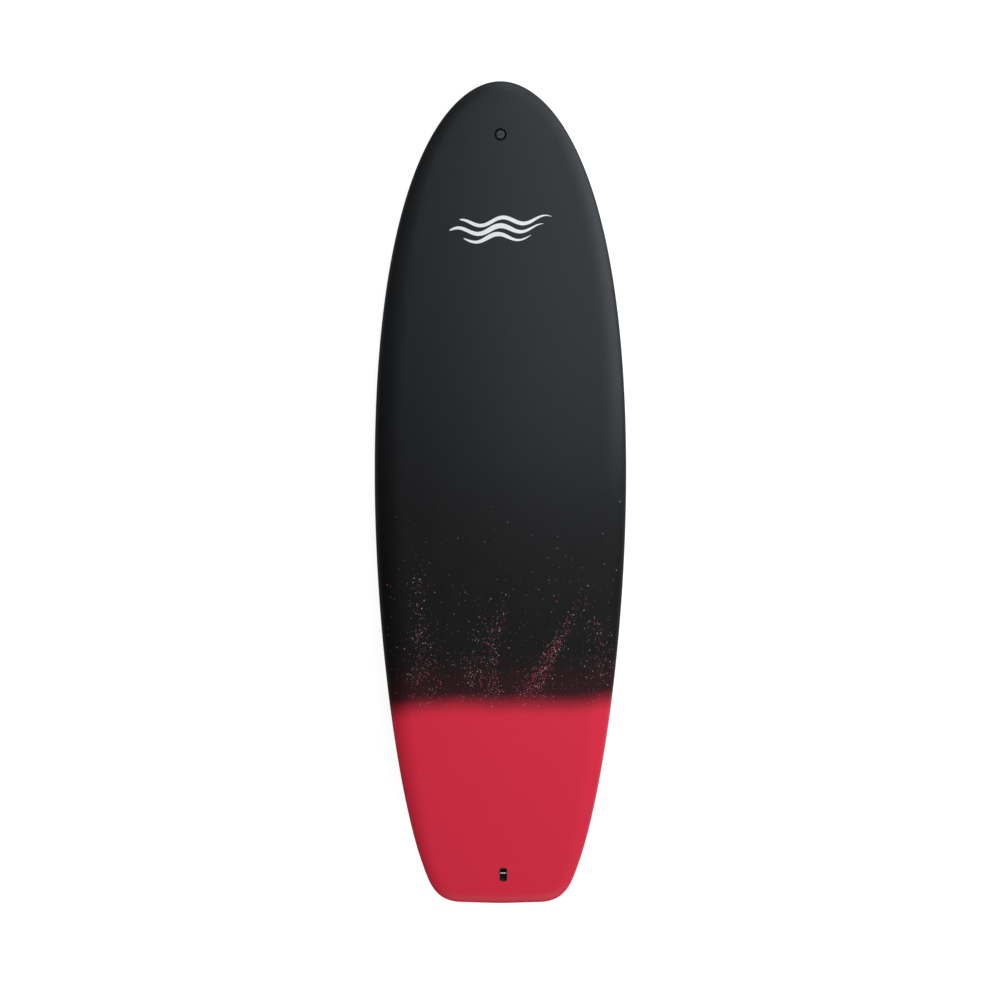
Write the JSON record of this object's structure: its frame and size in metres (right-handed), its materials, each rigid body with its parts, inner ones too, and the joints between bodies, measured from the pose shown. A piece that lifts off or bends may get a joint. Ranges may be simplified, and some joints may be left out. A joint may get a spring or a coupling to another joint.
{
  "type": "surfboard",
  "caption": "Soft-deck surfboard with a rounded nose and squash tail, foam core on a stringer, air vent, leash cup and removable fins",
  "frame": {"origin": "on the flat spot of the bottom, on the stringer, halfway along the board", "axes": "+Y along the stringer to the nose, +Z out of the deck, +X to the right of a rider who faces the nose"},
  "size_m": [0.565, 1.829, 0.2287],
  "materials": {
    "soft_skin": "soft closed-cell foam, matte black, red towards the tail",
    "laminate": "glass cloth in epoxy",
    "bottom_slick": "hard smooth plastic sheet",
    "core_foam": "white bead foam",
    "stringer_wood": "pale plywood",
    "vent_plastic": "moulded black plastic",
    "vent_screw_plastic": "moulded dark grey plastic",
    "o_ring_rubber": "black rubber",
    "membrane": "white breathable film",
    "cup_plastic": "moulded black plastic",
    "steel": "stainless steel",
    "fin_box_plastic": "moulded black plastic",
    "fin_plastic": "glass-filled black nylon"
  },
  "bodies": {
    "board": {"deck_skin": "soft_skin", "deck_laminate": "laminate", "bottom_skin": "bottom_slick", "core_left": "core_foam", "core_right": "core_foam", "stringer": "stringer_wood", "vent_housing": "vent_plastic", "vent_o_ring": "o_ring_rubber", "vent_membrane": "membrane", "leash_cup": "cup_plastic", "leash_bar": "steel", "left_fin_box": "fin_box_plastic", "right_fin_box": "fin_box_plastic", "centre_fin_box": "fin_box_plastic"},
    "left_fin": {"left_fin": "fin_plastic"},
    "left_grub_screw_front": {"left_grub_screw_front": "steel"},
    "left_grub_screw_rear": {"left_grub_screw_rear": "steel"},
    "right_fin": {"right_fin": "fin_plastic"},
    "right_grub_screw_front": {"right_grub_screw_front": "steel"},
    "right_grub_screw_rear": {"right_grub_screw_rear": "steel"},
    "centre_fin": {"centre_fin": "fin_plastic"},
    "centre_grub_screw_front": {"centre_grub_screw_front": "steel"},
    "centre_grub_screw_rear": {"centre_grub_screw_rear": "steel"},
    "vent_screw": {"vent_screw": "vent_screw_plastic"}
  },
  "joints": [
    {"name": "left_fin_pull", "type": "slide", "parent": "board", "child": "left_fin", "axis": [-0.1044, -0.0649, -0.9924], "range_m": [0, 0.03]},
    {"name": "left_grub_screw_front_turn", "type": "hinge", "parent": "board", "child": "left_grub_screw_front", "pos_m": [-0.19461, -0.54589, 0.02157], "axis": [-0.6552, -0.0191, -0.7553], "range_deg": [0, 990]},
    {"name": "left_grub_screw_rear_turn", "type": "hinge", "parent": "board", "child": "left_grub_screw_rear", "pos_m": [-0.19797, -0.60965, 0.02609], "axis": [-0.6552, -0.0191, -0.7553], "range_deg": [0, 990]},
    {"name": "right_fin_pull", "type": "slide", "parent": "board", "child": "right_fin", "axis": [0.1044, -0.0649, -0.9924], "range_m": [0, 0.03]},
    {"name": "right_grub_screw_front_turn", "type": "hinge", "parent": "board", "child": "right_grub_screw_front", "pos_m": [0.19461, -0.54589, 0.02157], "axis": [0.6552, -0.0191, -0.7553], "range_deg": [0, 990]},
    {"name": "right_grub_screw_rear_turn", "type": "hinge", "parent": "board", "child": "right_grub_screw_rear", "pos_m": [0.19797, -0.60965, 0.02609], "axis": [0.6552, -0.0191, -0.7553], "range_deg": [0, 990]},
    {"name": "centre_fin_pull", "type": "slide", "parent": "board", "child": "centre_fin", "axis": [0, -0.1027, -0.9947], "range_m": [0, 0.03]},
    {"name": "centre_grub_screw_front_turn", "type": "hinge", "parent": "board", "child": "centre_grub_screw_front", "pos_m": [-0.00441, -0.73093, 0.0362], "axis": [-0.5736, -0.0842, -0.8148], "range_deg": [0, 990]},
    {"name": "centre_grub_screw_rear_turn", "type": "hinge", "parent": "board", "child": "centre_grub_screw_rear", "pos_m": [-0.00441, -0.79459, 0.04278], "axis": [-0.5736, -0.0842, -0.8148], "range_deg": [0, 990]},
    {"name": "vent_screw_turn", "type": "hinge", "parent": "board", "child": "vent_screw", "pos_m": [0, 0.7976, 0.11525], "axis": [0, -0.176, 0.9844], "range_deg": [0, 990]}
  ]
}
